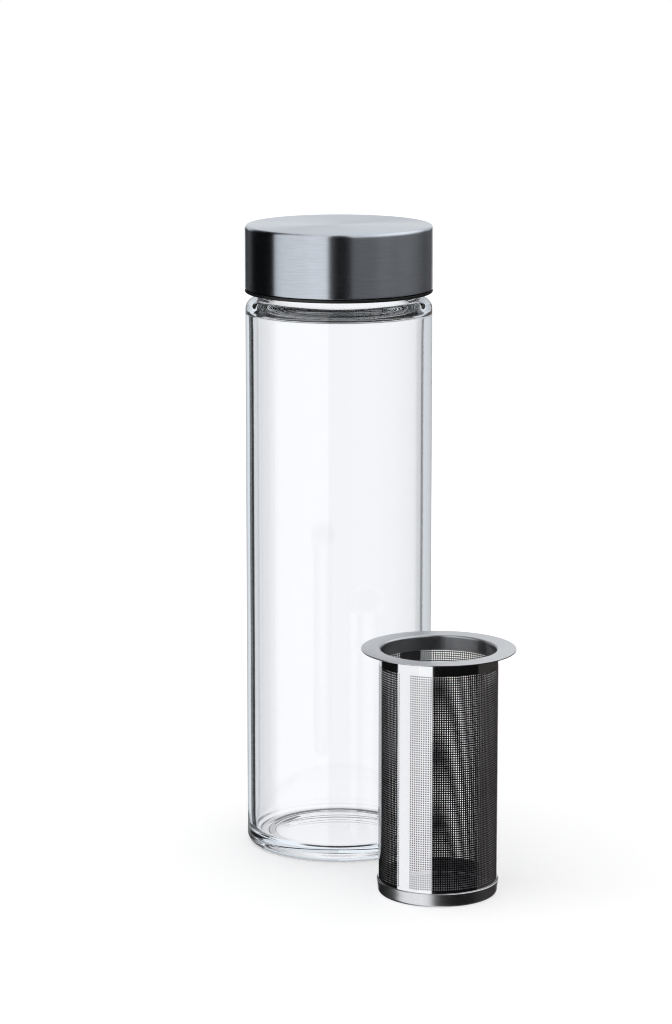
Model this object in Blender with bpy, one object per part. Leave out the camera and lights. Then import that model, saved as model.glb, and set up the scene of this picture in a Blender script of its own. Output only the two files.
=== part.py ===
"""Glass tea bottle with a screw lid, and the steel infuser basket that stands beside it.

Units are metres and +Z is up. The origin is on the table, at the centre of the pair's footprint.
"""

import math

import bmesh
import bpy

MM = 0.001
SEAT_GAP = 0.3 * MM  # left between two pieces that touch

# Glass bottle
BODY_RADIUS = 33.3 * MM
BODY_WALL = 2.5 * MM
SHOULDER_HEIGHT = 199.2 * MM  # table to the top of the shoulder
SHOULDER_THICKNESS = 3.2 * MM
SHOULDER_STEP = 5.3 * MM  # how far the neck stands in from the body
SHOULDER_FLAT = 0.3 * MM
INNER_SHOULDER_ROUND = 3.0 * MM
NECK_WALL = 4.0 * MM
NECK_FILLET = 1.2 * MM  # where the neck meets the shoulder
LIP_ROUND = 1.2 * MM  # both edges of the mouth's rim
BASE_ROUND = 2.4 * MM
FOOT_WIDTH = 5.0 * MM  # the flat ring that the bottle stands on
PUSH_UP = 1.6 * MM  # rise of the base inside that ring
PUSH_UP_RUN = 3.0 * MM
FLOOR_THICKNESS = 2.6 * MM
FLOOR_ROUND = 3.0 * MM

# Lid: a steel cup over a ribbed plastic insert, with a seal ring in the insert's channel
LID_HEIGHT = 24.0 * MM
NECK_SHOWING = 2.2 * MM  # bare neck between the shoulder and the lid
THREAD_ROOM = 1.5 * MM  # between the neck and the insert's skirt, for both threads
SKIRT_WALL = 1.5 * MM
RIB_DEPTH = 1.6 * MM
RIB_INSET = 1.0 * MM  # bare skirt above and below each rib
RIB_SPACING = 2  # one rib for this many facets of the skirt
SHELL_WALL = 0.6 * MM
SHELL_ROUND = 1.3 * MM
INSERT_ROOF = 1.8 * MM
INSERT_CHAMFER = 1.0 * MM
SKIRT_FLANGE = 1.1 * MM  # the black edge that shows under the steel
EDGE_ROUND = 0.4 * MM
SEAL_WIDTH = 4.7 * MM
SEAL_THICKNESS = 1.6 * MM
SEAL_CHAMFER = 0.3 * MM
CHANNEL_WALL = 1.0 * MM
CHANNEL_DEPTH = 1.4 * MM

# Infuser basket
INFUSER_HEIGHT = 86.7 * MM
MOUTH_CLEARANCE = 2.8 * MM  # between the basket's widest ring and the bottle's bore
FLANGE_SEAT = 2.7 * MM  # how far the flange reaches over the mouth's rim
FLANGE_SHEET = 0.4 * MM
FLANGE_ROUND = 1.3 * MM  # outside of the bend between flange and spigot
SPIGOT_LENGTH = 5.4 * MM  # flange top to the spigot's lower edge
SLEEVE_SHEET = 0.3 * MM
TOP_BAND = 0.3 * MM  # bare sheet between the spigot's lower edge and the first row of holes
BOTTOM_BAND = 1.5 * MM  # bare sheet between the last row and the base ring
HOLE_PITCH = 4.6 * MM  # round the sleeve, to the nearest whole number of columns
HOLE_ROWS = 11
SLEEVE_BAR = 1.5 * MM  # steel left between two holes
SEAM_ANGLE = math.radians(-126)  # where the narrow bare strip faces
SEAM_WIDTH = 4.0 * MM
LAP_ANGLE = math.radians(118)  # where the wide bare strip faces
LAP_WIDTH = 8.0 * MM
BASE_RING_HEIGHT = 4.9 * MM
BASE_RING_SHEET = 0.3 * MM
BASE_RING_ROUND = 1.3 * MM
BASE_RING_LIP = 3.9 * MM  # how far the ring turns in under the disc
DISC_SHEET = 0.3 * MM
DISC_SECTORS = 12
DISC_HUB = 3.0 * MM
DISC_HOLE_RINGS = 3
DISC_BAR = 1.2 * MM

# Where the infuser's axis stands, seen from the bottle's axis
INFUSER_RIGHT = 34.3 * MM
INFUSER_FORWARD = 66.9 * MM

FACETS = 36  # round a turned piece
ARC_STEPS = 3
MERGE = 1e-6


def room_in_bend(bend):
    """How far past the centre of an inner bend a flat edge reaches, a seat gap off its face."""
    return math.sqrt(bend**2 - (bend - SEAT_GAP) ** 2) - SEAT_GAP


# Radii and heights that follow from those sizes
NECK_RADIUS = BODY_RADIUS - SHOULDER_STEP
BORE_RADIUS = NECK_RADIUS - NECK_WALL
SKIRT_BORE = NECK_RADIUS + THREAD_ROOM
SKIRT_RADIUS = SKIRT_BORE + SKIRT_WALL
SHELL_BORE = SKIRT_RADIUS + RIB_DEPTH + SEAT_GAP
LID_RADIUS = SHELL_BORE + SHELL_WALL
LID_BASE = SHOULDER_HEIGHT + NECK_SHOWING
INSERT_TOP = LID_HEIGHT - SHELL_WALL - SEAT_GAP
INSERT_CEILING = INSERT_TOP - INSERT_ROOF
SEAL_TOP = INSERT_CEILING - SEAT_GAP
SEAL_BOTTOM = SEAL_TOP - SEAL_THICKNESS
MOUTH_HEIGHT = LID_BASE + SEAL_BOTTOM - SEAT_GAP
SEAL_RADIUS = SKIRT_BORE - SEAT_GAP
SEAL_BORE = SEAL_RADIUS - SEAL_WIDTH
BASE_RING_RADIUS = BORE_RADIUS - MOUTH_CLEARANCE
SLEEVE_RADIUS = BASE_RING_RADIUS - BASE_RING_SHEET - SEAT_GAP
SPIGOT_RADIUS = SLEEVE_RADIUS - SLEEVE_SHEET - SEAT_GAP
FLANGE_RADIUS = BORE_RADIUS + FLANGE_SEAT
BASE_RING_MOUTH = BASE_RING_RADIUS - BASE_RING_LIP
DISC_TOP = BASE_RING_SHEET + SEAT_GAP + DISC_SHEET
DISC_RADIUS = BASE_RING_RADIUS - BASE_RING_ROUND + room_in_bend(BASE_RING_ROUND - BASE_RING_SHEET)
SLEEVE_BOTTOM = DISC_TOP + SEAT_GAP
SLEEVE_TOP = INFUSER_HEIGHT - FLANGE_ROUND + room_in_bend(FLANGE_ROUND - FLANGE_SHEET)

# The footprint runs from the bottle's far left and back to the flange's far right and front
WIDEST_BOTTLE = max(LID_RADIUS, BODY_RADIUS)
BOTTLE_X = (WIDEST_BOTTLE - FLANGE_RADIUS - INFUSER_RIGHT) / 2
BOTTLE_Y = (INFUSER_FORWARD + FLANGE_RADIUS - WIDEST_BOTTLE) / 2


def clear_scene():
    for old in list(bpy.data.objects):
        bpy.data.objects.remove(old)


def material(name, colour, roughness, metallic=0.0, transmission=0.0, ior=1.5):
    """A Principled BSDF with plain values."""
    made = bpy.data.materials.new(name)
    made.use_nodes = True
    shader = made.node_tree.nodes["Principled BSDF"]
    shader.inputs["Base Color"].default_value = (*colour, 1.0)
    shader.inputs["Roughness"].default_value = roughness
    shader.inputs["Metallic"].default_value = metallic
    shader.inputs["Transmission Weight"].default_value = transmission
    shader.inputs["IOR"].default_value = ior
    made.diffuse_color = (*colour, 1.0 - 0.7 * transmission)
    return made


def axis_empty(name, x, y, z, parent=None):
    """An upright axis that pieces are modelled round and hang from."""
    made = bpy.data.objects.new(name, None)
    bpy.context.scene.collection.objects.link(made)
    made.empty_display_size = 10 * MM
    made.location = (x, y, z)
    made.parent = parent
    return made


def add_piece(name, bm, surface, axis):
    """Turns a bmesh into a smooth-shaded object that hangs from its axis."""
    mesh = bpy.data.meshes.new(name)
    bm.to_mesh(mesh)
    bm.free()
    mesh.shade_smooth()
    mesh.set_sharp_from_angle(angle=math.radians(35))
    mesh.materials.append(surface)
    made = bpy.data.objects.new(name, mesh)
    bpy.context.scene.collection.objects.link(made)
    made.parent = axis
    return made


def arc(centre_radius, centre_height, radius, start, end, steps=ARC_STEPS):
    """Profile points (radius, height) along an arc, from start to end in degrees."""
    points = []
    for step in range(steps + 1):
        angle = math.radians(start + (end - start) * step / steps)
        across = centre_radius + radius * math.cos(angle)
        points.append((across, centre_height + radius * math.sin(angle)))
    return points


def turn(profile, closed, facets=FACETS):
    """Spins a profile about Z. An open profile starts and ends on the axis."""
    bm = bmesh.new()
    corners = [bm.verts.new((radius, 0, height)) for radius, height in profile]
    pairs = list(zip(corners, corners[1:]))
    if closed:
        pairs.append((corners[-1], corners[0]))
    edges = [bm.edges.new(pair) for pair in pairs]
    bmesh.ops.spin(
        bm,
        geom=corners + edges,
        cent=(0, 0, 0),
        axis=(0, 0, 1),
        angle=math.tau,
        steps=facets,
        use_merge=True,
    )
    bmesh.ops.remove_doubles(bm, verts=bm.verts, dist=MERGE)
    bmesh.ops.recalc_face_normals(bm, faces=bm.faces)
    return bm


def pierce(bm, faces, bar):
    """Opens a hole in the middle of each face, and leaves a bar between neighbours."""
    bmesh.ops.inset_individual(bm, faces=faces, thickness=bar / 2, use_even_offset=True)
    bmesh.ops.delete(bm, geom=faces, context="FACES")


def give_thickness(piece, sheet):
    """Thickens a surface inwards, to the sheet that it is rolled or cut from."""
    wall = piece.modifiers.new("sheet", "SOLIDIFY")
    wall.thickness = sheet
    wall.offset = -1
    wall.use_even_offset = True


def bottle_glass(surface, axis):
    """One blown body: push-up base, straight wall, short shoulder, and the neck under the lid."""
    foot_edge = BODY_RADIUS - BASE_ROUND
    foot_inside = foot_edge - FOOT_WIDTH
    inside = BODY_RADIUS - BODY_WALL
    floor = PUSH_UP + FLOOR_THICKNESS
    shoulder_round = SHOULDER_STEP - NECK_FILLET - SHOULDER_FLAT
    inner_top = SHOULDER_HEIGHT - SHOULDER_THICKNESS
    inner_edge = inside - INNER_SHOULDER_ROUND
    throat_round = inner_edge - BORE_RADIUS
    lip = MOUTH_HEIGHT - LIP_ROUND

    profile = [(0, PUSH_UP), (foot_inside - PUSH_UP_RUN, PUSH_UP), (foot_inside, 0)]
    profile += arc(foot_edge, BASE_ROUND, BASE_ROUND, -90, 0)
    profile += arc(
        BODY_RADIUS - shoulder_round,
        SHOULDER_HEIGHT - shoulder_round,
        shoulder_round,
        0,
        90,
    )
    profile += arc(
        NECK_RADIUS + NECK_FILLET, SHOULDER_HEIGHT + NECK_FILLET, NECK_FILLET, -90, -180
    )
    profile += arc(NECK_RADIUS - LIP_ROUND, lip, LIP_ROUND, 0, 90)
    profile += arc(BORE_RADIUS + LIP_ROUND, lip, LIP_ROUND, 90, 180)
    profile += arc(inner_edge, inner_top + throat_round, throat_round, 180, 270)
    profile += arc(
        inner_edge,
        inner_top - INNER_SHOULDER_ROUND,
        INNER_SHOULDER_ROUND,
        90,
        0,
    )
    profile += arc(inside - FLOOR_ROUND, floor + FLOOR_ROUND, FLOOR_ROUND, 0, -90)
    profile.append((0, floor))
    return add_piece("bottle_glass", turn(profile, closed=False), surface, axis)


def lid_shell(surface, axis):
    """Drawn steel cup that covers the insert, down to the insert's black flange."""
    edge = SKIRT_FLANGE + SEAT_GAP
    inner_round = SHELL_ROUND - SHELL_WALL
    corner = LID_RADIUS - SHELL_ROUND
    corner_height = LID_HEIGHT - SHELL_ROUND
    profile = [(0, LID_HEIGHT)]
    profile += arc(corner, corner_height, SHELL_ROUND, 90, 0)
    profile += [(LID_RADIUS, edge), (SHELL_BORE, edge)]
    profile += arc(corner, corner_height, inner_round, 0, 90)
    profile.append((0, LID_HEIGHT - SHELL_WALL))
    return add_piece("lid_shell", turn(profile, closed=False), surface, axis)


def lid_insert(surface, axis):
    """Moulded insert: roof, threaded skirt, ribs that grip the shell, and the seal's channel."""
    roof_edge = SHELL_BORE - SEAT_GAP
    channel_outside = SEAL_BORE - SEAT_GAP
    channel_inside = channel_outside - CHANNEL_WALL
    channel_foot = INSERT_CEILING - CHANNEL_DEPTH
    rib_low = SKIRT_FLANGE + RIB_INSET
    rib_high = INSERT_CEILING - RIB_INSET
    profile = [
        (0, INSERT_TOP),
        (roof_edge - INSERT_CHAMFER, INSERT_TOP),
        (roof_edge, INSERT_TOP - INSERT_CHAMFER),
        (roof_edge, INSERT_CEILING),
        (SKIRT_RADIUS, INSERT_CEILING),
        (SKIRT_RADIUS, rib_high),
        (SKIRT_RADIUS, rib_low),
        (SKIRT_RADIUS, SKIRT_FLANGE),
        (LID_RADIUS, SKIRT_FLANGE),
    ]
    profile += arc(LID_RADIUS - EDGE_ROUND, EDGE_ROUND, EDGE_ROUND, 0, -90, 2)
    profile += [
        (SKIRT_BORE + EDGE_ROUND, 0),
        (SKIRT_BORE, EDGE_ROUND),
        (SKIRT_BORE, INSERT_CEILING),
        (channel_outside, INSERT_CEILING),
        (channel_outside, channel_foot),
        (channel_inside, channel_foot),
        (channel_inside, INSERT_CEILING),
        (0, INSERT_CEILING),
    ]
    bm = turn(profile, closed=False)
    add_ribs(bm, rib_low, rib_high)
    return add_piece("lid_insert", bm, surface, axis)


def add_ribs(bm, low, high):
    """Draws some of the skirt's outer facets out into ribs that reach the shell."""
    middle = (low + high) / 2
    walls = []
    for face in bm.faces:
        centre = face.calc_center_median()
        on_skirt = centre.xy.length > (SKIRT_BORE + SKIRT_RADIUS) / 2
        if on_skirt and centre.xy.length < SKIRT_RADIUS and abs(centre.z - middle) < MM:
            walls.append((math.atan2(centre.y, centre.x), face))
    walls.sort(key=lambda wall: wall[0])
    ribs = [face for _, face in walls[::RIB_SPACING]]
    drawn = bmesh.ops.extrude_discrete_faces(bm, faces=ribs)["faces"]
    for face in drawn:
        outwards = face.calc_center_median()
        outwards.z = 0
        outwards.normalize()
        for corner in face.verts:
            corner.co += outwards * RIB_DEPTH
    bmesh.ops.recalc_face_normals(bm, faces=bm.faces)


def lid_seal(surface, axis):
    """Flat silicone ring that the lid presses on the mouth's rim."""
    profile = [
        (SEAL_BORE, SEAL_TOP),
        (SEAL_RADIUS, SEAL_TOP),
        (SEAL_RADIUS, SEAL_BOTTOM + SEAL_CHAMFER),
        (SEAL_RADIUS - SEAL_CHAMFER, SEAL_BOTTOM),
        (SEAL_BORE + SEAL_CHAMFER, SEAL_BOTTOM),
        (SEAL_BORE, SEAL_BOTTOM + SEAL_CHAMFER),
    ]
    return add_piece("lid_seal", turn(profile, closed=True), surface, axis)


def infuser_rim(surface, axis):
    """Pressed flange that hangs on the mouth's rim, with the spigot that fits inside the sleeve."""
    bore = SPIGOT_RADIUS - FLANGE_SHEET
    top = INFUSER_HEIGHT
    underside = top - FLANGE_SHEET
    foot = top - SPIGOT_LENGTH
    outer_bend = FLANGE_ROUND
    inner_bend = FLANGE_ROUND - FLANGE_SHEET
    bend_radius = bore + outer_bend
    bend_height = top - outer_bend
    edge_round = FLANGE_SHEET / 2
    profile = arc(FLANGE_RADIUS - edge_round, top - edge_round, edge_round, -90, 90, 2)
    profile += arc(bend_radius, bend_height, outer_bend, 90, 180)
    profile += [(bore, foot), (SPIGOT_RADIUS, foot)]
    profile += arc(bend_radius, bend_height, inner_bend, 180, 90)
    profile[-1] = (bend_radius, underside)
    return add_piece("infuser_rim", turn(profile, closed=True), surface, axis)


def sleeve_columns():
    """Where each column of the sleeve starts, and whether it has holes."""
    seam = SEAM_WIDTH / SLEEVE_RADIUS / 2
    lap = LAP_WIDTH / SLEEVE_RADIUS / 2
    bounds = [SEAM_ANGLE - seam, SEAM_ANGLE + seam, LAP_ANGLE - lap, LAP_ANGLE + lap]
    bounds.append(bounds[0] + math.tau)
    columns = []
    for part, (start, end) in enumerate(zip(bounds, bounds[1:])):
        count = round((end - start) * SLEEVE_RADIUS / HOLE_PITCH)
        for column in range(count):
            columns.append((start + (end - start) * column / count, part % 2 == 1))
    return columns


def infuser_sleeve(surface, axis):
    """Etched sheet rolled to a tube: bare bands at both ends, two bare strips, and the holes."""
    field_low = BASE_RING_HEIGHT + BOTTOM_BAND - SLEEVE_BAR / 2
    field_high = INFUSER_HEIGHT - SPIGOT_LENGTH - TOP_BAND + SLEEVE_BAR / 2
    heights = [SLEEVE_BOTTOM]
    for row in range(HOLE_ROWS + 1):
        heights.append(field_low + (field_high - field_low) * row / HOLE_ROWS)
    heights.append(SLEEVE_TOP)

    bm = bmesh.new()
    columns = []
    for angle, holed in sleeve_columns():
        x = SLEEVE_RADIUS * math.cos(angle)
        y = SLEEVE_RADIUS * math.sin(angle)
        corners = [bm.verts.new((x, y, height)) for height in heights]
        columns.append((corners, holed))
    pierced = []
    for column, (here, holed) in enumerate(columns):
        there = columns[(column + 1) % len(columns)][0]
        for row in range(len(heights) - 1):
            corners = (here[row], there[row], there[row + 1], here[row + 1])
            face = bm.faces.new(corners)
            if holed and 0 < row <= HOLE_ROWS:
                pierced.append(face)
    bm.normal_update()
    pierce(bm, pierced, SLEEVE_BAR)
    sleeve = add_piece("infuser_sleeve", bm, surface, axis)
    give_thickness(sleeve, SLEEVE_SHEET)
    return sleeve


def infuser_base_ring(surface, axis):
    """Pressed ring that closes the sleeve's lower end and turns in under the mesh disc."""
    bore = BASE_RING_RADIUS - BASE_RING_SHEET
    inner_round = BASE_RING_ROUND - BASE_RING_SHEET
    corner = BASE_RING_RADIUS - BASE_RING_ROUND
    profile = [(BASE_RING_MOUTH, 0)]
    profile += arc(corner, BASE_RING_ROUND, BASE_RING_ROUND, -90, 0)
    profile += [(BASE_RING_RADIUS, BASE_RING_HEIGHT), (bore, BASE_RING_HEIGHT)]
    profile += arc(corner, BASE_RING_ROUND, inner_round, 0, -90)
    profile.append((BASE_RING_MOUTH, BASE_RING_SHEET))
    return add_piece("infuser_base_ring", turn(profile, closed=True), surface, axis)


def infuser_base_disc(surface, axis):
    """Perforated disc on the base ring's lip, under the sleeve's edge."""
    field = BASE_RING_MOUTH + DISC_BAR / 2
    radii = [DISC_HUB]
    for ring in range(1, DISC_HOLE_RINGS + 1):
        radii.append(DISC_HUB + (field - DISC_HUB) * ring / DISC_HOLE_RINGS)
    radii.append(DISC_RADIUS)
    bm = turn([(0, DISC_TOP)] + [(radius, DISC_TOP) for radius in radii], False, DISC_SECTORS)
    pierced = []
    for face in bm.faces:
        reach = max(corner.co.xy.length for corner in face.verts)
        if DISC_HUB + MERGE < reach < field + MERGE:
            pierced.append(face)
    bm.faces.ensure_lookup_table()
    if bm.faces[0].normal.z < 0:
        bmesh.ops.reverse_faces(bm, faces=bm.faces)
    pierce(bm, pierced, DISC_BAR)
    disc = add_piece("infuser_base_disc", bm, surface, axis)
    give_thickness(disc, DISC_SHEET)
    return disc


def main():
    clear_scene()
    glass = material("clear_glass", (0.93, 0.96, 0.97), 0.02, transmission=1.0, ior=1.5)
    brushed = material("brushed_steel", (0.60, 0.61, 0.63), 0.34, metallic=1.0)
    satin = material("satin_steel", (0.68, 0.68, 0.69), 0.28, metallic=1.0)
    polished = material("polished_steel", (0.66, 0.66, 0.67), 0.14, metallic=1.0)
    black = material("black_plastic", (0.02, 0.02, 0.022), 0.45)
    silicone = material("silicone", (0.78, 0.79, 0.78), 0.60)

    bottle = axis_empty("bottle_axis", BOTTLE_X, BOTTLE_Y, 0)
    lid = axis_empty("lid_axis", 0, 0, LID_BASE, parent=bottle)
    infuser = axis_empty(
        "infuser_axis", BOTTLE_X + INFUSER_RIGHT, BOTTLE_Y - INFUSER_FORWARD, 0
    )

    bottle_glass(glass, bottle)
    lid_shell(brushed, lid)
    lid_insert(black, lid)
    lid_seal(silicone, lid)
    infuser_rim(satin, infuser)
    infuser_sleeve(polished, infuser)
    infuser_base_ring(polished, infuser)
    infuser_base_disc(polished, infuser)


main()
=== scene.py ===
# Glass tea bottle with a steel lid, and its perforated steel infuser basket

import math
import bpy
import bmesh
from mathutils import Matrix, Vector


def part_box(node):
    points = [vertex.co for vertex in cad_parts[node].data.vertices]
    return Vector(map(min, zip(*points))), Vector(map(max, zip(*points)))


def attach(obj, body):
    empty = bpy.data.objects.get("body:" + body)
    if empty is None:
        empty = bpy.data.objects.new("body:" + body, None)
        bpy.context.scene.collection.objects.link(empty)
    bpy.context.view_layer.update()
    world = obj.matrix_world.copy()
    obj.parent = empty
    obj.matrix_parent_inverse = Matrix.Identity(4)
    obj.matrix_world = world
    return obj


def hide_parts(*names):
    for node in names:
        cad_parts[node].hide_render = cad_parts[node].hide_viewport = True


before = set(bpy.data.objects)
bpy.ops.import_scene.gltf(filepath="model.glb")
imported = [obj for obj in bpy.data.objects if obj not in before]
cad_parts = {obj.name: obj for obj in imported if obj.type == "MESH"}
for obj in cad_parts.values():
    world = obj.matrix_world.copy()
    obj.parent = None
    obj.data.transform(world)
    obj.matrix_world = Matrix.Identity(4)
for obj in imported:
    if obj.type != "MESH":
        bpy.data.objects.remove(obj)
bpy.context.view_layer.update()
mm = 0.001  # lengths in the settings are in millimetres
tiny = 1e-6  # millimetres, for radii that are the same or nought
scene = bpy.context.scene


def placed(name, data):
    made = bpy.data.objects.new(name, data)
    scene.collection.objects.link(made)
    return made


def axisOf(node):  # the upright axis that a round CAD node stands round
    low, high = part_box(node)
    return (low.x + high.x) / 2, (low.y + high.y) / 2


bottleAxis = axisOf("bottle_glass")
infuserAxis = axisOf("infuser_rim")


# Sums on sockets are written as plain Python: 1 - mask adds a Math node

def bothWays(operation):  # an operator, and its reflected form for a plain number on the left
    def plain(self, other):
        return self.maths(operation, other)

    def reflected(self, other):
        return self.maths(operation, other, True)
    return plain, reflected


class Value:
    def __init__(self, book, socket):
        self.book = book
        self.socket = socket

    def maths(self, operation, other=None, swapped=False):
        parts = [self] if other is None else [self, other]
        if swapped:
            parts.reverse()
        return self.book.make("ShaderNodeMath", {"operation": operation}, dict(enumerate(parts)))

    __add__, __radd__ = bothWays("ADD")
    __sub__, __rsub__ = bothWays("SUBTRACT")
    __mul__, __rmul__ = bothWays("MULTIPLY")
    __truediv__, __rtruediv__ = bothWays("DIVIDE")
    __pow__, __rpow__ = bothWays("POWER")


class NodeBook:
    def __init__(self, tree):
        self.tree = tree
        tree.nodes.clear()

    # One way to add any node: its type, its settings first, then its sockets' values or links, where
    # a list of values all go into one socket
    def make(self, kind, settings=None, sockets=None, out=0):
        node = self.tree.nodes.new(kind)
        for key, value in (settings or {}).items():
            setattr(node, key, value)
        for key, given in (sockets or {}).items():
            for value in given if isinstance(given, list) else [given]:
                if isinstance(value, Value):
                    self.tree.links.new(value.socket, node.inputs[key])
                else:
                    node.inputs[key].default_value = value
        return Value(self, node.outputs[out]) if len(node.outputs) else node

    def outputsOf(self, value):  # all the outputs of the node that a value comes from, by name
        return {socket.name: Value(self, socket) for socket in value.socket.node.outputs}

    def split(self, vector):
        return self.outputsOf(self.make("ShaderNodeSeparateXYZ", None, {0: vector})).values()

    def vector(self, x, y, z):
        return self.make("ShaderNodeCombineXYZ", None, {"X": x, "Y": y, "Z": z})

    def over(self, value, limits):  # 0 below the first limit, 1 above the second, smooth between
        return self.make("ShaderNodeMapRange", {"interpolation_type": "SMOOTHSTEP"},
                         {"Value": value, "From Min": limits[0], "From Max": limits[1]})

    def under(self, value, limits):
        return 1 - self.over(value, limits)

    def stepAt(self, value, middle, blur):
        return self.over(value, (middle - blur, middle + blur))

    def blend(self, mask, first, second):  # first where the mask is 0, second where it is 1
        return first * (1 - mask) + second * mask

    def mixColour(self, factor, first, second):  # each colour is a value or three numbers
        first, second = (colour if isinstance(colour, Value) else (*colour, 1)
                         for colour in (first, second))
        sockets = {"Factor": factor, 6: first, 7: second}  # 6 and 7 are the colours named A and B
        return self.make("ShaderNodeMix", {"data_type": "RGBA"}, sockets, out=2)


# Round pieces are turned from a profile of (radius, height) in millimetres

ringSteps = 224
weldWithin = 0.0005
sharpDegrees = 35


def arc(centreRadius, centreHeight, radius, start, end, steps=10):
    points = []
    for step in range(steps + 1):
        angle = math.radians(start + (end - start) * step / steps)
        across = centreRadius + radius * math.cos(angle)
        points.append((across, centreHeight + radius * math.sin(angle)))
    return points


def rise(radius, low, high, steps):  # a straight run up or down, cut in equal steps
    return [(radius, low + (high - low) * step / steps) for step in range(steps + 1)]


def closeUp(mesh):  # merges doubles, then turns every face outwards
    bm = bmesh.new()
    bm.from_mesh(mesh)
    bmesh.ops.remove_doubles(bm, verts=bm.verts, dist=weldWithin * mm)
    bmesh.ops.recalc_face_normals(bm, faces=bm.faces)
    bm.to_mesh(mesh)
    bm.free()


def turned(name, profile, centre, closed=False, shape=None):  # shape gives the radius at an angle
    verts, faces, rings = [], [], []
    for radius, height in profile:
        if radius < tiny:
            rings.append([len(verts)])
            verts.append((centre[0], centre[1], height * mm))
            continue
        ring = []
        for step in range(ringSteps):
            angle = math.tau * step / ringSteps
            here = shape(radius, height, angle) if shape else radius
            ring.append(len(verts))
            verts.append((centre[0] + here * mm * math.cos(angle),
                          centre[1] + here * mm * math.sin(angle), height * mm))
        rings.append(ring)
    pairs = list(zip(rings, rings[1:]))
    if closed:
        pairs.append((rings[-1], rings[0]))
    for low, high in pairs:
        for step in range(ringSteps):
            after = (step + 1) % ringSteps
            if len(low) == 1:
                faces.append((low[0], high[after], high[step]))
            elif len(high) == 1:
                faces.append((low[step], low[after], high[0]))
            else:
                faces.append((low[step], low[after], high[after], high[step]))
    mesh = bpy.data.meshes.new(name)
    mesh.from_pydata(verts, [], faces)
    closeUp(mesh)
    return placed(name, mesh)


def dress(piece, material, body, slot, *nodes):
    mesh = piece.data
    mesh.materials.clear()
    mesh.materials.append(material)
    mesh.shade_smooth()
    mesh.set_sharp_from_angle(angle=math.radians(sharpDegrees))
    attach(piece, body)
    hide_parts(*nodes)
    print(piece.name, len(mesh.polygons), "faces")


# Finishes: a noise is (scale, detail), and a bump is (strength, depth)

class MaterialBook(NodeBook):
    def __init__(self, name):
        self.material = bpy.data.materials.new(name)
        self.material.use_nodes = True
        super().__init__(self.material.node_tree)

    def placeRound(self, axis):  # Object coordinates, measured from a piece's own axis
        place = self.make("ShaderNodeTexCoord", out="Object")
        return self.make("ShaderNodeMapping", None,
                         {"Vector": place, "Location": (-axis[0], -axis[1], 0)})

    def noise(self, place, scale, detail, roughness=0.5):
        return self.make("ShaderNodeTexNoise", None, {
            "Vector": place, "Scale": scale, "Detail": detail, "Roughness": roughness})

    def bump(self, height, strength, depth):
        return self.make("ShaderNodeBump", None,
                         {"Height": height, "Strength": strength, "Distance": depth * mm})

    def surface(self, sockets):
        return self.make("ShaderNodeBsdfPrincipled", None, sockets)

    def finish(self, shader):
        self.make("ShaderNodeOutputMaterial", None, {"Surface": shader})
        return self.material


glassLook = {"dark": (0.975, 0.985, 0.99), "pale": (0.99, 0.995, 1.0), "smear": (160.0, 3.0),
             "waves": (38.0, 1.0), "waveBump": (0.05, 0.6), "refraction": 1.5}


def clearGlass(name, look):
    book = MaterialBook(name)
    place = book.placeRound(bottleAxis)
    waves, smear = book.noise(place, *look["waves"]), book.noise(place, *look["smear"])
    return book.finish(book.surface({
        "Base Color": book.mixColour(smear, look["dark"], look["pale"]),
        "Roughness": 0.0, "Normal": book.bump(waves, *look["waveBump"]), "IOR": look["refraction"],
        "Transmission Weight": 1.0}))


brushSettings = {"lines": (1.0, 3.0), "lineRoughness": 0.62, "lineTone": (0.25, 0.75),
                 "lineShare": 0.8, "broad": (55.0, 2.0), "bump": (0.06, 0.04), "flatBlur": 0.1,
                 "turn": 0.25}
lidSteelLook = {"colour": (0.54, 0.575, 0.62), "contrast": 0.10, "roughness": 0.29,
                "roughVariation": 0.02, "lineLength": 7.0, "lineWidth": 0.2, "sidePaintedShade": 1.0,
                "anisotropic": 1.0, "flatFrom": 225.2, "flatAnisotropic": 0.75}
# The rim's side below its flat top takes a darker colour: painted shade on its edge, underside, bend and
# spigot
rimSteelLook = {"colour": (0.59, 0.60, 0.615), "contrast": 0.04, "roughness": 0.30,
                "roughVariation": 0.02, "lineLength": 8.0, "lineWidth": 0.15, "sidePaintedShade": 0.66,
                "anisotropic": 0.5, "flatFrom": 86.6, "flatAnisotropic": 0.5}


def brushedMetal(name, axis, look):  # fine lines round an axis, as a lathe or a belt leaves them
    s = brushSettings
    book = MaterialBook(name)
    place = book.placeRound(axis)
    x, y, z = book.split(place)
    out = (x * x + y * y) ** 0.5 + z
    long, thin = look["lineLength"] * mm, look["lineWidth"] * mm
    lines = book.noise(book.vector(x / long, y / long, out / thin), *s["lines"], s["lineRoughness"])
    broad = book.noise(place, *s["broad"])
    bump = book.bump(lines, *s["bump"])
    tone = book.over(lines, s["lineTone"]) * s["lineShare"] + broad * (1 - s["lineShare"])
    flat = book.stepAt(z, look["flatFrom"] * mm, s["flatBlur"] * mm)
    rough = look["roughness"] + (lines - 0.5) * look["roughVariation"]

    def steel(stretch, shade):
        dark, pale = (tuple(part * (1 + sign * look["contrast"]) * shade for part in look["colour"])
                      for sign in (-1, 1))
        return book.surface({
            "Base Color": book.mixColour(tone, dark, pale), "Metallic": 1.0, "Roughness": rough,
            "Normal": bump, "Anisotropic": stretch, "Anisotropic Rotation": s["turn"]})
    # The side's colour is scaled down by its painted shade factor, while the flat top keeps the full
    # colour
    side = steel(look["anisotropic"], look["sidePaintedShade"])
    top = steel(look["flatAnisotropic"], 1)
    return book.finish(book.make("ShaderNodeMixShader", None, {0: flat, 1: side, 2: top}))


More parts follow.
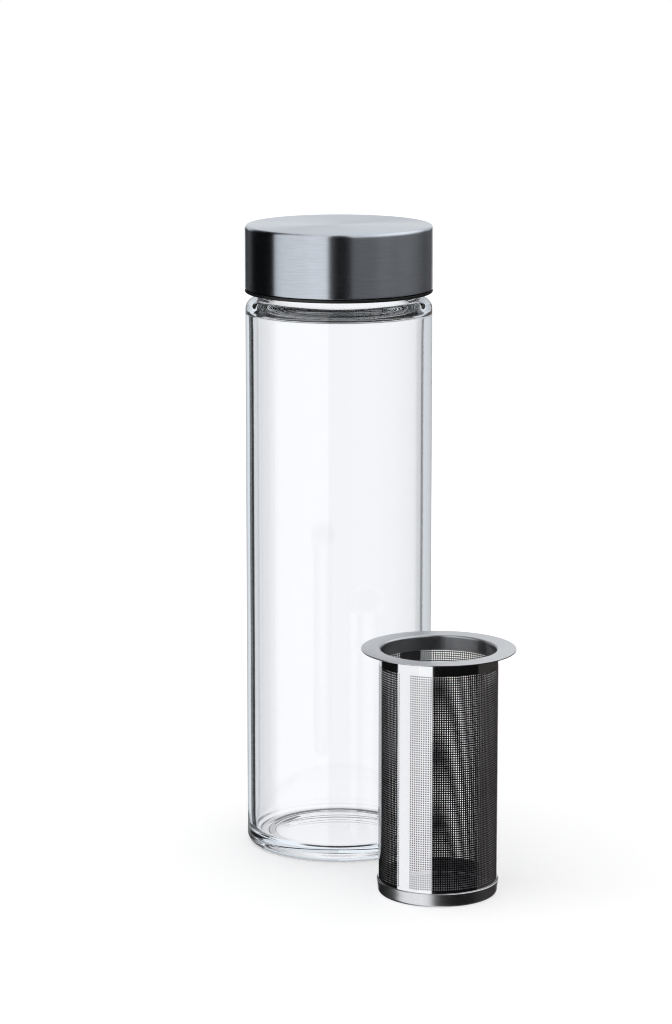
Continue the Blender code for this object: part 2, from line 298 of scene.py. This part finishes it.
sheetSettings = {"waves": (70.0, 1.5), "waveShare": 0.9, "upright": 0.18, "grain": (900.0, 2.0),
                 "depth": 0.4, "satinBlur": 0.05}
# In both looks, inner is painted shade: a darker colour for the sheet inside the basket, where the sheet
# is also rougher
sleeveSteelLook = {"dark": (0.81, 0.81, 0.815), "pale": (0.86, 0.86, 0.865),
                   "inner": (0.19, 0.19, 0.195), "roughness": 0.055, "roughVariation": 0.04,
                   "bump": 0.04, "satinWithin": 20.55, "satin": 0.285}
cupSteelLook = {"dark": (0.68, 0.68, 0.69), "pale": (0.74, 0.74, 0.75),
                "inner": (0.42, 0.42, 0.42), "roughness": 0.275, "roughVariation": 0.02,
                "bump": 0.05, "satinWithin": 17.0, "satin": 0.05}


def polishedSteel(name, look):  # rolled and polished sheet: faint waves; rougher on the inside, where a darker inner colour is painted shade
    s = sheetSettings
    book = MaterialBook(name)
    place = book.placeRound(infuserAxis)
    stretched = book.make("ShaderNodeMapping", None, {"Vector": place, "Scale": (1, 1, s["upright"])})
    waves, grain = book.noise(stretched, *s["waves"]), book.noise(place, *s["grain"])
    height = waves * s["waveShare"] + grain * (1 - s["waveShare"])
    x, y, _ = book.split(place)
    # Inside that radius the sheet is rougher, and it takes the darker inner colour: painted shade
    satin = 1 - book.stepAt((x * x + y * y) ** 0.5, look["satinWithin"] * mm, s["satinBlur"] * mm)
    outer = book.mixColour(grain, look["dark"], look["pale"])
    return book.finish(book.surface({
        "Base Color": book.mixColour(satin, outer, look["inner"]), "Metallic": 1.0,
        "Roughness": look["roughness"] + grain * look["roughVariation"] + satin * look["satin"],
        "Normal": book.bump(height, look["bump"], s["depth"])}))


plasticLook = {"dark": (0.003, 0.003, 0.0035), "pale": (0.009, 0.009, 0.010), "cloud": (120.0, 2.0),
               "grain": (2600.0, 2.0), "bump": (0.25, 0.04), "roughness": 0.32,
               "roughVariation": 0.16, "refraction": 1.48, "softness": 0.0}
siliconeLook = {"dark": (0.70, 0.71, 0.70), "pale": (0.82, 0.83, 0.82), "cloud": (240.0, 3.0),
                "grain": (240.0, 3.0), "bump": (0.15, 0.1), "roughness": 0.5,
                "roughVariation": 0.2, "refraction": 1.5, "softness": 0.2}


def moulded(name, look):  # black plastic or silicone, with the faint grain of its mould
    book = MaterialBook(name)
    place = book.placeRound(bottleAxis)
    cloud, grain = book.noise(place, *look["cloud"]), book.noise(place, *look["grain"])
    return book.finish(book.surface({
        "Base Color": book.mixColour(cloud, look["dark"], look["pale"]),
        "Roughness": look["roughness"] + grain * look["roughVariation"],
        "Normal": book.bump(grain, *look["bump"]), "IOR": look["refraction"],
        "Subsurface Weight": look["softness"]}))


glassMaterial = clearGlass("clearGlass", glassLook)
lidMaterial = brushedMetal("brushedSteel", bottleAxis, lidSteelLook)
rimMaterial = brushedMetal("satinSteel", infuserAxis, rimSteelLook)
sleeveMaterial = polishedSteel("etchedSheetSteel", sleeveSteelLook)
cupMaterial = polishedSteel("pressedSteel", cupSteelLook)
plasticMaterial = moulded("blackPlastic", plasticLook)
siliconeMaterial = moulded("siliconeRubber", siliconeLook)
print("finishes ready")


# Screw thread, shared by the bottle's neck and the lid's insert

threadSettings = {"lead": 8.0, "starts": 2, "turns": 1.25, "ridgeDepth": 0.9, "ridgeHalfWidth": 1.0,
                  "ridgeFullness": 1.6, "fadeDegrees": 25, "from": 204.6}


def threadSwell(shift):  # tells how far the ridge stands out at a height and an angle
    s = threadSettings
    length = s["turns"] * math.tau
    fade = math.radians(s["fadeDegrees"])

    def swell(height, angle):
        most = 0.0
        for start in range(s["starts"]):
            for turn in range(-1, math.ceil(s["turns"]) + 1):
                along = angle - math.tau * start / s["starts"] + math.tau * turn
                if not 0 <= along <= length:
                    continue
                middle = s["from"] + shift + s["lead"] * along / math.tau
                off = abs(height - middle) / s["ridgeHalfWidth"]
                if off < 1:
                    ends = min(1.0, along / fade, (length - along) / fade)
                    full = min(1.0, s["ridgeFullness"] * (1 - off * off))
                    most = max(most, s["ridgeDepth"] * ends * full)
        return most
    return swell


# Bottle

bottleSettings = {
    "bodyRadius": 33.3, "wall": 2.75, "shoulder": 199.2, "shoulderThickness": 3.2,
    "neckRadius": 28.0, "bore": 24.0, "neckFillet": 1.2, "shoulderFlat": 0.3, "mouth": 220.5,
    "lipRound": 1.2, "baseRound": 2.8, "footWidth": 4.2, "pushUp": 1.6, "pushUpRun": 3.4,
    "pushUpRings": 12, "floorThickness": 2.6, "floorRound": 3.0, "innerShoulderRound": 3.0,
    "sideRings": 24, "sideInset": 4, "neckRings": 68, "neckInset": (0.6, 0.3), "threadInset": 2}


def makeBottle():
    s = bottleSettings
    footEdge = s["bodyRadius"] - s["baseRound"]
    footInside = footEdge - s["footWidth"]
    inside = s["bodyRadius"] - s["wall"]
    floor = s["pushUp"] + s["floorThickness"]
    shoulderRound = s["bodyRadius"] - s["neckRadius"] - s["neckFillet"] - s["shoulderFlat"]
    neckFoot = s["shoulder"] + s["neckFillet"]
    innerTop = s["shoulder"] - s["shoulderThickness"]
    innerEdge = inside - s["innerShoulderRound"]
    throat = innerEdge - s["bore"]
    lip = s["mouth"] - s["lipRound"]
    inset = s["sideInset"]
    profile = [(0, s["pushUp"])]
    for step in range(s["pushUpRings"] + 1):  # the push-up falls to the foot in a soft curve
        share = step / s["pushUpRings"]
        ease = share * share * (3 - 2 * share)
        profile.append((footInside - s["pushUpRun"] * (1 - share), s["pushUp"] * (1 - ease)))
    profile += arc(footEdge, s["baseRound"], s["baseRound"], -90, 0)
    profile += rise(s["bodyRadius"], s["baseRound"] + inset, s["shoulder"] - shoulderRound - inset,
                    s["sideRings"])
    profile += arc(s["bodyRadius"] - shoulderRound, s["shoulder"] - shoulderRound, shoulderRound, 0, 90)
    profile += arc(s["neckRadius"] + s["neckFillet"], neckFoot, s["neckFillet"], -90, -180, 8)
    profile += rise(s["neckRadius"], neckFoot + s["neckInset"][0], lip - s["neckInset"][1], s["neckRings"])
    profile += arc(s["neckRadius"] - s["lipRound"], lip, s["lipRound"], 0, 90, 8)
    profile += arc(s["bore"] + s["lipRound"], lip, s["lipRound"], 90, 180, 8)
    profile += arc(innerEdge, innerTop + throat, throat, 180, 270)
    profile += arc(innerEdge, innerTop - s["innerShoulderRound"], s["innerShoulderRound"], 90, 0)
    profile += rise(inside, innerTop - s["innerShoulderRound"] - inset, floor + s["floorRound"] + inset,
                    s["sideRings"])
    profile += arc(inside - s["floorRound"], floor + s["floorRound"], s["floorRound"], 0, -90)
    profile.append((0, floor))
    swell = threadSwell(0.0)

    def neckThread(radius, height, angle):
        onNeck = abs(radius - s["neckRadius"]) < tiny and height > s["shoulder"] + s["threadInset"]
        return radius + swell(height, angle) if onNeck else radius
    bottle = turned("glassBottle", profile, bottleAxis, shape=neckThread)
    dress(bottle, glassMaterial, "bottle", "clear_glass", "bottle_glass")


# Lid

lidSettings = {
    "base": 201.4, "top": 225.4, "radius": 33.5, "wall": 0.6, "edgeRound": 1.3, "skirtEdge": 1.4,
    "edgeRoll": 0.28, "rings": 8, "sideInset": 1, "rollInset": 0.6, "insertFlange": 1.1,
    "flangeShy": 0.15, "flangeRound": 0.5, "boreRound": 0.4, "insertRoof": 1.8, "roofBevel": 1.0,
    "skirtBore": 29.5, "skirtRadius": 31.0, "boreRings": 80, "threadInset": 3, "ribs": 56,
    "ribDepth": 1.6, "ribInset": 1.0, "ribStep": 0.02, "seatGap": 0.3, "channelOutside": 24.2,
    "channelWall": 1.0, "channelDepth": 1.4}


def makeLidShell():
    s = lidSettings
    corner, height = s["radius"] - s["edgeRound"], s["top"] - s["edgeRound"]
    bore = s["radius"] - s["wall"]
    roll = s["edgeRoll"]
    low = s["base"] + s["skirtEdge"] + roll
    profile = [(corner * ring / s["rings"], s["top"]) for ring in range(s["rings"])]
    profile += arc(corner, height, s["edgeRound"], 90, 0)
    profile += rise(s["radius"], height - s["sideInset"], low + s["rollInset"], s["rings"])
    profile += arc(s["radius"] - roll, low, roll, 0, -90, 6)
    profile += arc(bore + roll, low, roll, -90, -180, 6)
    profile += rise(bore, low + s["sideInset"], height - s["sideInset"], 4)
    profile += arc(corner, height, s["edgeRound"] - s["wall"], 0, 90, 6)
    profile.append((0, s["top"] - s["wall"]))
    shell = turned("lidShell", profile, bottleAxis)
    dress(shell, lidMaterial, "lid", "brushed_steel", "lid_shell")


def makeLidInsert():
    s = lidSettings
    radius, bore, skirt = s["radius"], s["skirtBore"], s["skirtRadius"]
    roof = s["top"] - s["wall"] - s["seatGap"]
    ceiling = roof - s["insertRoof"]
    edge = radius - s["wall"] - s["seatGap"]
    flange = s["base"] + s["insertFlange"]
    outerRound, innerRound = s["flangeRound"], s["boreRound"]
    inner = s["channelOutside"] - s["channelWall"]
    foot = ceiling - s["channelDepth"]
    ribHigh, ribLow = ceiling - s["ribInset"], flange + s["ribInset"]
    profile = [(0, roof), (edge - s["roofBevel"], roof), (edge, roof - s["roofBevel"]), (edge, ceiling)]
    profile += [(skirt, ceiling), (skirt, ribHigh), (skirt, ribHigh - s["ribStep"])]
    profile += [(skirt, ribLow + s["ribStep"]), (skirt, ribLow), (skirt, flange)]
    profile.append((radius - s["flangeShy"], flange))
    profile += arc(radius - outerRound, s["base"] + outerRound, outerRound, 0, -90, 8)
    profile += arc(bore + innerRound, s["base"] + innerRound, innerRound, -90, -180, 6)
    profile += rise(bore, s["base"] + 2 * innerRound, ceiling - s["sideInset"], s["boreRings"])
    profile += [(bore, ceiling), (s["channelOutside"], ceiling), (s["channelOutside"], foot)]
    profile += [(inner, foot), (inner, ceiling), (0, ceiling)]
    swell = threadSwell(threadSettings["lead"] / 4)  # the insert's ridges lie between the neck's

    def ribsAndThread(radius, height, angle):
        if abs(radius - bore) < tiny and height < ceiling - s["threadInset"]:
            return radius - swell(height, angle)
        onRib = angle * s["ribs"] / math.tau % 1 < 0.5
        middle = s["ribStep"] / 2
        if abs(radius - skirt) < tiny and ribLow + middle < height < ribHigh - middle and onRib:
            return radius + s["ribDepth"]
        return radius
    insert = turned("lidInsert", profile, bottleAxis, shape=ribsAndThread)
    dress(insert, plasticMaterial, "lid", "black_plastic", "lid_insert")


sealSettings = {"bottom": 220.8, "top": 222.4, "bore": 24.5, "radius": 29.2, "edge": 0.35}


def makeSeal():
    s = sealSettings
    edge = s["edge"]
    low, high = s["bottom"] + edge, s["top"] - edge
    profile = arc(s["radius"] - edge, low, edge, -90, 0, 5)
    profile += arc(s["radius"] - edge, high, edge, 0, 90, 5)
    profile += arc(s["bore"] + edge, high, edge, 90, 180, 5)
    profile += arc(s["bore"] + edge, low, edge, 180, 270, 5)
    seal = turned("mouthSeal", profile, bottleAxis, closed=True)
    dress(seal, siliconeMaterial, "seal", "silicone", "lid_seal")


# Infuser basket: turned pieces

rimSettings = {"top": 86.7, "radius": 26.7, "sheet": 0.4, "bend": 0.85, "bore": 19.9, "foot": 81.3,
               "edge": 0.07, "inset": 1, "footRound": 0.1, "footMiddle": 0.15}


def makeRim():
    s = rimSettings
    edge = s["edge"]
    centre, height = s["bore"] + s["bend"], s["top"] - s["bend"]
    foot = s["foot"] + s["footRound"]
    profile = arc(s["radius"] - edge, s["top"] - s["sheet"] + edge, edge, -90, 0, 4)
    profile += arc(s["radius"] - edge, s["top"] - edge, edge, 0, 90, 4)
    profile += arc(centre, height, s["bend"], 90, 180)
    profile += rise(s["bore"], height - s["inset"], foot, 3)
    profile += arc(s["bore"] + s["footMiddle"], foot, s["footRound"], 180, 360, 6)
    profile += arc(centre, height, s["bend"] - s["sheet"], 180, 90)
    rim = turned("basketRim", profile, infuserAxis, closed=True)
    dress(rim, rimMaterial, "infuser", "satin_steel", "infuser_rim")


cupSettings = {"lipRadius": 21.2, "lipHeight": 4.9, "lipTaper": 0.02, "lipRun": 0.5, "waist": 20.95,
               "waistHeight": 3.3, "foot": 20.75, "footRound": 1.3, "sheet": 0.25, "bevel": 0.11,
               "edge": 0.05, "mouth": 17.3}


def makeCup():
    s = cupSettings
    lip, height, edge = s["lipRadius"], s["lipHeight"], s["edge"]
    corner = s["foot"] - s["footRound"]
    profile = [(s["mouth"], 0.0)]
    profile += arc(corner, s["footRound"], s["footRound"], -90, 0, 12)
    profile += [(s["waist"], s["waistHeight"]), (lip - s["lipTaper"], height - s["lipRun"])]
    profile += [(lip, height - s["bevel"]), (lip - s["bevel"], height)]
    profile += arc(lip - s["sheet"] + edge, height - edge, edge, 90, 180, 4)
    profile.append((s["waist"] - s["sheet"], s["waistHeight"]))
    profile += arc(corner, s["footRound"], s["footRound"] - s["sheet"], 0, -90, 8)
    profile.append((s["mouth"], s["sheet"]))
    cup = turned("basketCup", profile, infuserAxis, closed=True)
    dress(cup, cupMaterial, "infuser", "polished_steel", "infuser_base_ring")


# Infuser basket: perforated sheets, made with Geometry Nodes

tileSettings = {"holeSides": 8, "mergeWithin": 0.02}


class GeometryBook(NodeBook):
    def __init__(self, name, inputs):
        tree = bpy.data.node_groups.new(name, "GeometryNodeTree")
        super().__init__(tree)
        for label, kind in inputs.items():
            tree.interface.new_socket(label, in_out="INPUT", socket_type="NodeSocket" + kind)
        tree.interface.new_socket("Geometry", in_out="OUTPUT", socket_type="NodeSocketGeometry")
        self.given = self.outputsOf(self.make("NodeGroupInput"))

    def compare(self, operation, first, second):
        return self.make("FunctionNodeCompare", {"data_type": "FLOAT", "operation": operation},
                         {0: first, 1: second})

    def both(self, first, second):
        return self.make("FunctionNodeBooleanMath", {"operation": "AND"}, {0: first, 1: second})

    def opposite(self, choice):
        return self.make("FunctionNodeBooleanMath", {"operation": "NOT"}, {0: choice})

    def inside(self, value, low, high):  # low < value < high
        return self.both(self.compare("GREATER_THAN", value, low), self.compare("LESS_THAN", value, high))

    def position(self):
        return self.split(self.make("GeometryNodeInputPosition"))

    def grid(self, width, height, columns, rows):
        return self.make("GeometryNodeMeshGrid", None, {
            "Size X": width, "Size Y": height, "Vertices X": columns + 1, "Vertices Y": rows + 1})

    def moved(self, sheet, x, y, z):
        return self.make("GeometryNodeTransform", None,
                         {"Geometry": sheet, "Translation": self.vector(x, y, z)})

    def join(self, *parts):
        return self.make("GeometryNodeJoinGeometry", None, {0: list(parts)})

    # A unit square of sheet with a round hole in its middle
    def holedTile(self, holeShare):
        square = self.make("GeometryNodeCurvePrimitiveQuadrilateral", None, {"Width": 1.0, "Height": 1.0})
        hole = self.make("GeometryNodeCurvePrimitiveCircle", None,
                         {"Resolution": tileSettings["holeSides"], "Radius": holeShare})
        return self.make("GeometryNodeFillCurve", {"mode": "TRIANGLES"}, {0: self.join(square, hole)})

    # Puts a holed tile in place of each chosen face, and keeps the other faces plain
    def perforate(self, sheet, chosen, holeShare, width, height):
        parts = self.outputsOf(self.make("GeometryNodeSeparateGeometry", {"domain": "FACE"},
                                         {0: sheet, 1: chosen}))
        points = self.make("GeometryNodeMeshToPoints", {"mode": "FACES"}, {0: parts["Selection"]})
        tiles = self.make("GeometryNodeInstanceOnPoints", None, {
            "Points": points, "Instance": self.holedTile(holeShare),
            "Scale": self.vector(width, height, 1.0)})
        real = self.make("GeometryNodeRealizeInstances", None, {0: tiles})
        return self.make("GeometryNodeMergeByDistance", None, {
            "Geometry": self.join(real, parts["Inverted"]), "Distance": tileSettings["mergeWithin"] * mm})

    def finish(self, sheet, material):
        real = self.make("GeometryNodeRealizeInstances", None, {0: sheet})
        coated = self.make("GeometryNodeSetMaterial", None, {"Geometry": real, "Material": material})
        self.make("NodeGroupOutput", None, {0: coated})


def fromNodes(name, book, values, thickness):  # a plain mesh of what the nodes make, with its wall
    holder = placed(name + "Maker", bpy.data.meshes.new(name + "Maker"))
    grower = holder.modifiers.new("sheet", "NODES")
    grower.node_group = book.tree
    for item in book.tree.interface.items_tree:
        if item.in_out == "INPUT":
            grower[item.identifier] = values[item.name]
    wall = holder.modifiers.new("wall", "SOLIDIFY")
    wall.thickness = thickness
    wall.offset = -1
    made = bpy.data.meshes.new_from_object(holder.evaluated_get(bpy.context.evaluated_depsgraph_get()))
    holder.modifiers.clear()
    bpy.data.objects.remove(holder)
    made.name = name
    return placed(name, made)


# A bare strip is the angle of its middle and its width in columns. Angles are in degrees from the
# right, anticlockwise from above
sleeveSettings = {
    "radius": 20.65, "sheet": 0.2, "bottom": 1.2, "top": 85.5, "columns": 162, "rows": 105,
    "firstHoleRow": 6, "lastHoleRow": 99, "hole": 0.55, "turn": 0.17,
    "bareStrips": ((-125.6, 5), (118.0, 10)), "panelStarts": (-148, -36, 38, 136)}


def sleeveBook():
    s = sleeveSettings
    book = GeometryBook("perforatedWall", {
        "Columns": "Int", "First column": "Float", "Rows": "Int", "Column step": "Float",
        "Row step": "Float", "Radius": "Float", "Bottom": "Float", "Hole radius": "Float"})
    given = book.given
    wide, tall, radius = given["Column step"], given["Row step"], given["Radius"]
    width, height = given["Columns"] * wide, given["Rows"] * tall
    flat = book.moved(book.grid(width, height, given["Columns"], given["Rows"]),
                      width / 2 + given["First column"] * wide, height / 2, 0.0)
    x, y, _ = book.position()
    column, row = x / wide, y / tall
    holed = book.inside(row, s["firstHoleRow"], s["lastHoleRow"] + 1)
    for middle, count in s["bareStrips"]:
        first = round((middle % 360) / 360 * s["columns"] - count / 2)
        for start in (first, first - s["columns"]):  # some panels count their columns from below 0
            strip = book.inside(column, start, start + count)
            holed = book.both(holed, book.opposite(strip))
    sheet = book.perforate(flat, holed, given["Hole radius"] / wide, wide, tall)
    x, y, _ = book.position()
    turn = x / radius + math.radians(s["turn"])
    rolled = book.make("GeometryNodeSetPosition", None, {"Geometry": sheet, "Position": book.vector(
        turn.maths("COSINE") * radius + infuserAxis[0], turn.maths("SINE") * radius + infuserAxis[1],
        y + given["Bottom"])})
    book.finish(rolled, sleeveMaterial)
    return book


def makeSleeve():
    s = sleeveSettings
    book = sleeveBook()
    starts = [round(angle / 360 * s["columns"]) for angle in s["panelStarts"]]
    starts.append(starts[0] + s["columns"])
    for count, (first, after) in enumerate(zip(starts, starts[1:]), 1):
        panel = fromNodes("basketWall." + str(count), book, {
            "Columns": after - first, "First column": float(first), "Rows": s["rows"],
            "Column step": math.tau * s["radius"] * mm / s["columns"],
            "Row step": (s["top"] - s["bottom"]) * mm / s["rows"], "Radius": s["radius"] * mm,
            "Bottom": s["bottom"] * mm, "Hole radius": s["hole"] / 2 * mm}, s["sheet"] * mm)
        dress(panel, sleeveMaterial, "infuser", "polished_steel", "infuser_sleeve")


discSettings = {"radius": 20.15, "holesWithin": 16.6, "height": 0.9, "sheet": 0.25, "pitch": 0.8,
                "hole": 0.56, "cellBeyond": 0.45}


def discBook():
    s = discSettings
    book = GeometryBook("perforatedFloor", {
        "Cells": "Int", "Cell": "Float", "Radius": "Float", "Holes within": "Float",
        "Height": "Float", "Hole radius": "Float"})
    given = book.given
    cells, cell, radius = given["Cells"], given["Cell"], given["Radius"]
    square = book.grid(cells * cell, cells * cell, cells, cells)
    x, y, _ = book.position()
    far = (x * x + y * y) ** 0.5
    beyond = book.compare("GREATER_THAN", far, radius - cell * s["cellBeyond"])
    stepped = book.make("GeometryNodeDeleteGeometry", {"domain": "FACE"}, {0: square, 1: beyond})
    facesAtEdge = book.make("GeometryNodeInputMeshEdgeNeighbors")
    border = book.compare("LESS_THAN", facesAtEdge, 2)
    stretch = radius / far
    snapped = book.make("GeometryNodeSetPosition", None, {
        "Geometry": stepped, "Selection": border,
        "Position": book.vector(x * stretch, y * stretch, 0.0)})
    within = book.compare("LESS_THAN", far, given["Holes within"])
    sheet = book.perforate(snapped, within, given["Hole radius"] / cell, cell, cell)
    book.finish(book.moved(sheet, *infuserAxis, given["Height"]), cupMaterial)
    return book


def makeDisc():
    s = discSettings
    disc = fromNodes("basketFloor", discBook(), {
        "Cells": 2 * math.ceil(s["radius"] / s["pitch"]), "Cell": s["pitch"] * mm,
        "Radius": s["radius"] * mm, "Holes within": s["holesWithin"] * mm,
        "Height": s["height"] * mm, "Hole radius": s["hole"] / 2 * mm}, s["sheet"] * mm)
    dress(disc, cupMaterial, "infuser", "polished_steel", "infuser_base_disc")


makeBottle()
makeLidShell()
makeLidInsert()
makeSeal()
makeRim()
makeSleeve()
makeDisc()
makeCup()
print("pieces ready")


# Floor: a plain pale table that keeps the shadows; metal and glass look past it at the pale room

floorSettings = {"metres": 8.0, "drop": 0.05, "paint": (0.93, 0.93, 0.935), "glow": 0.21}


def makeFloor():
    s = floorSettings
    half, low = s["metres"] / 2, -s["drop"] * mm
    mesh = bpy.data.meshes.new("tableTop")
    mesh.from_pydata([(-half, -half, low), (half, -half, low), (half, half, low), (-half, half, low)],
                     [], [(0, 1, 2, 3)])
    floor = placed("tableTop", mesh)
    book = MaterialBook("paleTable")
    rays = book.outputsOf(book.make("ShaderNodeLightPath"))
    seenIn = rays["Is Glossy Ray"].maths("MAXIMUM", rays["Is Transmission Ray"])
    paint = book.make("ShaderNodeBsdfDiffuse", None, {"Color": (*s["paint"], 1)})
    glow = book.make("ShaderNodeEmission", None, {"Strength": s["glow"]})
    table = book.make("ShaderNodeAddShader", None, {0: paint, 1: glow})
    clear = book.make("ShaderNodeBsdfTransparent")
    mesh.materials.append(book.finish(
        book.make("ShaderNodeMixShader", None, {0: seenIn, 1: table, 2: clear})))


# Light: a white room with a tall soft box to the left, dark screens beside it and a bank overhead

# Azimuth in degrees from straight in front, positive to the right: from, to, brightness
roomSeenInMetal = (
    (-180, -165, 1.0), (-165, -86, 0.006), (-86, -40, 1.06), (-40, -13, 1.12), (-13, 81, 0.006),
    (81, 161, 0.043), (161, 180, 0.85))
overheadInMetal = ((-180, 16, 0.0), (16, 52, 1.0), (52, 95, 1.45), (95, 180, 1.65))
# In glass, what is seen through both walls and what the wall's own edge throws sideways
roomSeenThrough = (
    (-180, -173, 1.05), (-173, -165, 0.94), (-165, -140, 0.74), (-140, -86, 0.8), (-86, -13, 1.0),
    (-13, 60, 0.9), (60, 140, 0.8), (140, 153, 0.52), (153, 161.5, 0.02), (161.5, 168, 0.88),
    (168, 180, 1.05))
roomSeenInEdge = (
    (-180, -155, 1.0), (-155, -139, 0.02), (-139, -120, 0.8), (-120, -86, 0.25), (-86, -13, 1.0),
    (-13, 60, 0.5), (60, 137, 0.10), (137, 180, 0.80))
roomSeenOnGlass = (
    (-180, -150, 0.35), (-150, -86, 0.1), (-86, -13, 1.05), (-13, 60, 0.03), (60, 125, 0.1),
    (125, 180, 0.3))
# A pair is the limits of a soft step: angles in degrees, parts of a direction or a ray's depth. The
# strip is a narrow light high up at the back, and steep rays are those that glass reflects downwards
roomSettings = {
    "metalEdge": 1.0, "glassEdge": 1.5, "overheadEdge": 2, "overhead": (6, 30),
    "backWall": 0.88, "backWallTurn": (0.66, 0.82), "backWallOver": (3, 8),
    "strip": 1.1, "stripOver": (0.50, 0.64), "stripSides": (0.24, 0.40), "stripBehind": (-0.1, 0.1),
    "underfoot": 0.8, "underfootFrom": (-86, -70),
    "throughBends": (2.4, 3.6), "once": (0.4, 0.6), "ceilingOver": (45, 60),
    "table": 0.97, "tableUnder": (-46, -38), "steepLoss": 0.94, "steepUnder": (-68, -60),
    "upperLoss": 0.22, "upperOver": (8, 14), "upperUnder": (32, 40),
    "softLight": 0.95, "leftShare": 0.22, "warmOver": (79, 83), "warmUnder": (-7, -1),
    "metalTint": (0.965, 0.98, 1.0), "glassTint": (0.955, 0.955, 0.978),
    "edgeTint": (0.875, 0.935, 1.0), "warmTint": (1.0, 0.92, 0.9)}


def bands(book, azimuth, table, blur):  # sums the steps between one band and the next
    total = table[0][2]
    for before, after in zip(table, table[1:]):
        total = book.stepAt(azimuth, after[0], blur) * (after[2] - before[2]) + total
    return total


def roomInMetal(book, way, azimuth, elevation):
    s = roomSettings
    x, y, z = way
    bank = bands(book, azimuth, overheadInMetal, s["overheadEdge"]) * book.over(elevation, s["overhead"])
    room = bands(book, azimuth, roomSeenInMetal, s["metalEdge"]) + bank
    backWall = book.over(y, s["backWallTurn"]) * book.over(elevation, s["backWallOver"])
    sides = book.under(x.maths("ABSOLUTE"), s["stripSides"])
    strip = book.over(z, s["stripOver"]) * sides * book.over(y, s["stripBehind"])
    underfoot = book.under(elevation, s["underfootFrom"])
    for mask, level in ((backWall, "backWall"), (strip, "strip"), (underfoot, "underfoot")):
        room = book.blend(mask, room, s[level])
    return room


def roomInGlass(book, azimuth, elevation, through, mirrored):
    s = roomSettings
    thrown = bands(book, azimuth, roomSeenInEdge, s["glassEdge"])
    room = book.blend(through, thrown, bands(book, azimuth, roomSeenThrough, s["glassEdge"]))
    room = book.blend(book.over(elevation, s["ceilingOver"]), room, 1.0)
    steep = book.under(elevation, s["steepUnder"]) * mirrored
    table = s["table"] - steep * s["steepLoss"]
    room = book.blend(book.under(elevation, s["tableUnder"]), room, table)
    upper = book.over(elevation, s["upperOver"]) * book.under(elevation, s["upperUnder"])
    return room * (1 - upper * through * s["upperLoss"])


def makeRoom():
    s = roomSettings
    world = bpy.data.worlds.new("paleRoom")
    scene.world = world
    world.use_nodes = True
    world.cycles.sampling_method = "NONE"
    book = NodeBook(world.node_tree)
    x, y, z = book.split(book.make("ShaderNodeTexCoord"))  # its first output, the direction looked in
    degrees = 180 / math.pi
    azimuth = x.maths("ARCTAN2", -1.0 * y) * degrees
    elevation = z.maths("ARCSINE") * degrees
    rays = book.outputsOf(book.make("ShaderNodeLightPath"))
    through = book.over(rays["Transmission Depth"], s["throughBends"])
    mirrored, bounced = (book.over(rays[kind], s["once"]) for kind in ("Glossy Depth", "Diffuse Depth"))
    metal = roomInMetal(book, (x, y, z), azimuth, elevation)
    glass = roomInGlass(book, azimuth, elevation, through, mirrored)
    onGlass = bands(book, azimuth, roomSeenOnGlass, s["glassEdge"])
    soft = s["softLight"] * (1 - x * s["leftShare"])
    seen = book.blend(rays["Is Glossy Ray"], soft, book.blend(rays["Is Singular Ray"], metal, onGlass))
    seen = book.blend(rays["Is Transmission Ray"], seen, glass)
    seen = book.blend(bounced, seen, soft)
    seen = book.blend(rays["Is Camera Ray"], seen, 1.0)
    warm = book.over(azimuth, s["warmOver"]) * book.under(elevation, s["warmUnder"])
    inMetal = book.mixColour(warm, s["metalTint"], s["warmTint"])
    inGlass = book.mixColour(through, s["edgeTint"], s["glassTint"])
    colour = book.mixColour(rays["Is Glossy Ray"], (1, 1, 1), inMetal)
    colour = book.mixColour(rays["Is Transmission Ray"], colour, inGlass)
    sky = book.make("ShaderNodeBackground", None, {"Color": colour, "Strength": seen})
    book.make("ShaderNodeOutputWorld", None, {"Surface": sky})


# Camera at the photograph's angle: from the bottle's axis, in millimetres

cameraSettings = {"right": -1.025, "back": 1272.996, "height": 367.188, "downDegrees": 10.9286,
                  "lens": 126.505, "sensor": 36}


def makeCamera():
    s = cameraSettings
    data = bpy.data.cameras.new("camera")
    data.lens = s["lens"]
    data.sensor_width = s["sensor"]
    camera = placed("camera", data)
    camera.location = (bottleAxis[0] + s["right"] * mm, bottleAxis[1] - s["back"] * mm, s["height"] * mm)
    camera.rotation_euler = (math.radians(90 - s["downDegrees"]), 0, 0)
    scene.camera = camera


makeFloor()
makeRoom()
makeCamera()
scene.view_settings.view_transform = "Standard"
scene.cycles.max_bounces = 32  # thick glass needs many turns of a ray
scene.cycles.glossy_bounces = 16
scene.cycles.transmission_bounces = 32
scene.cycles.filter_width = 1.1  # sharp enough for the fine holes
print("room ready")
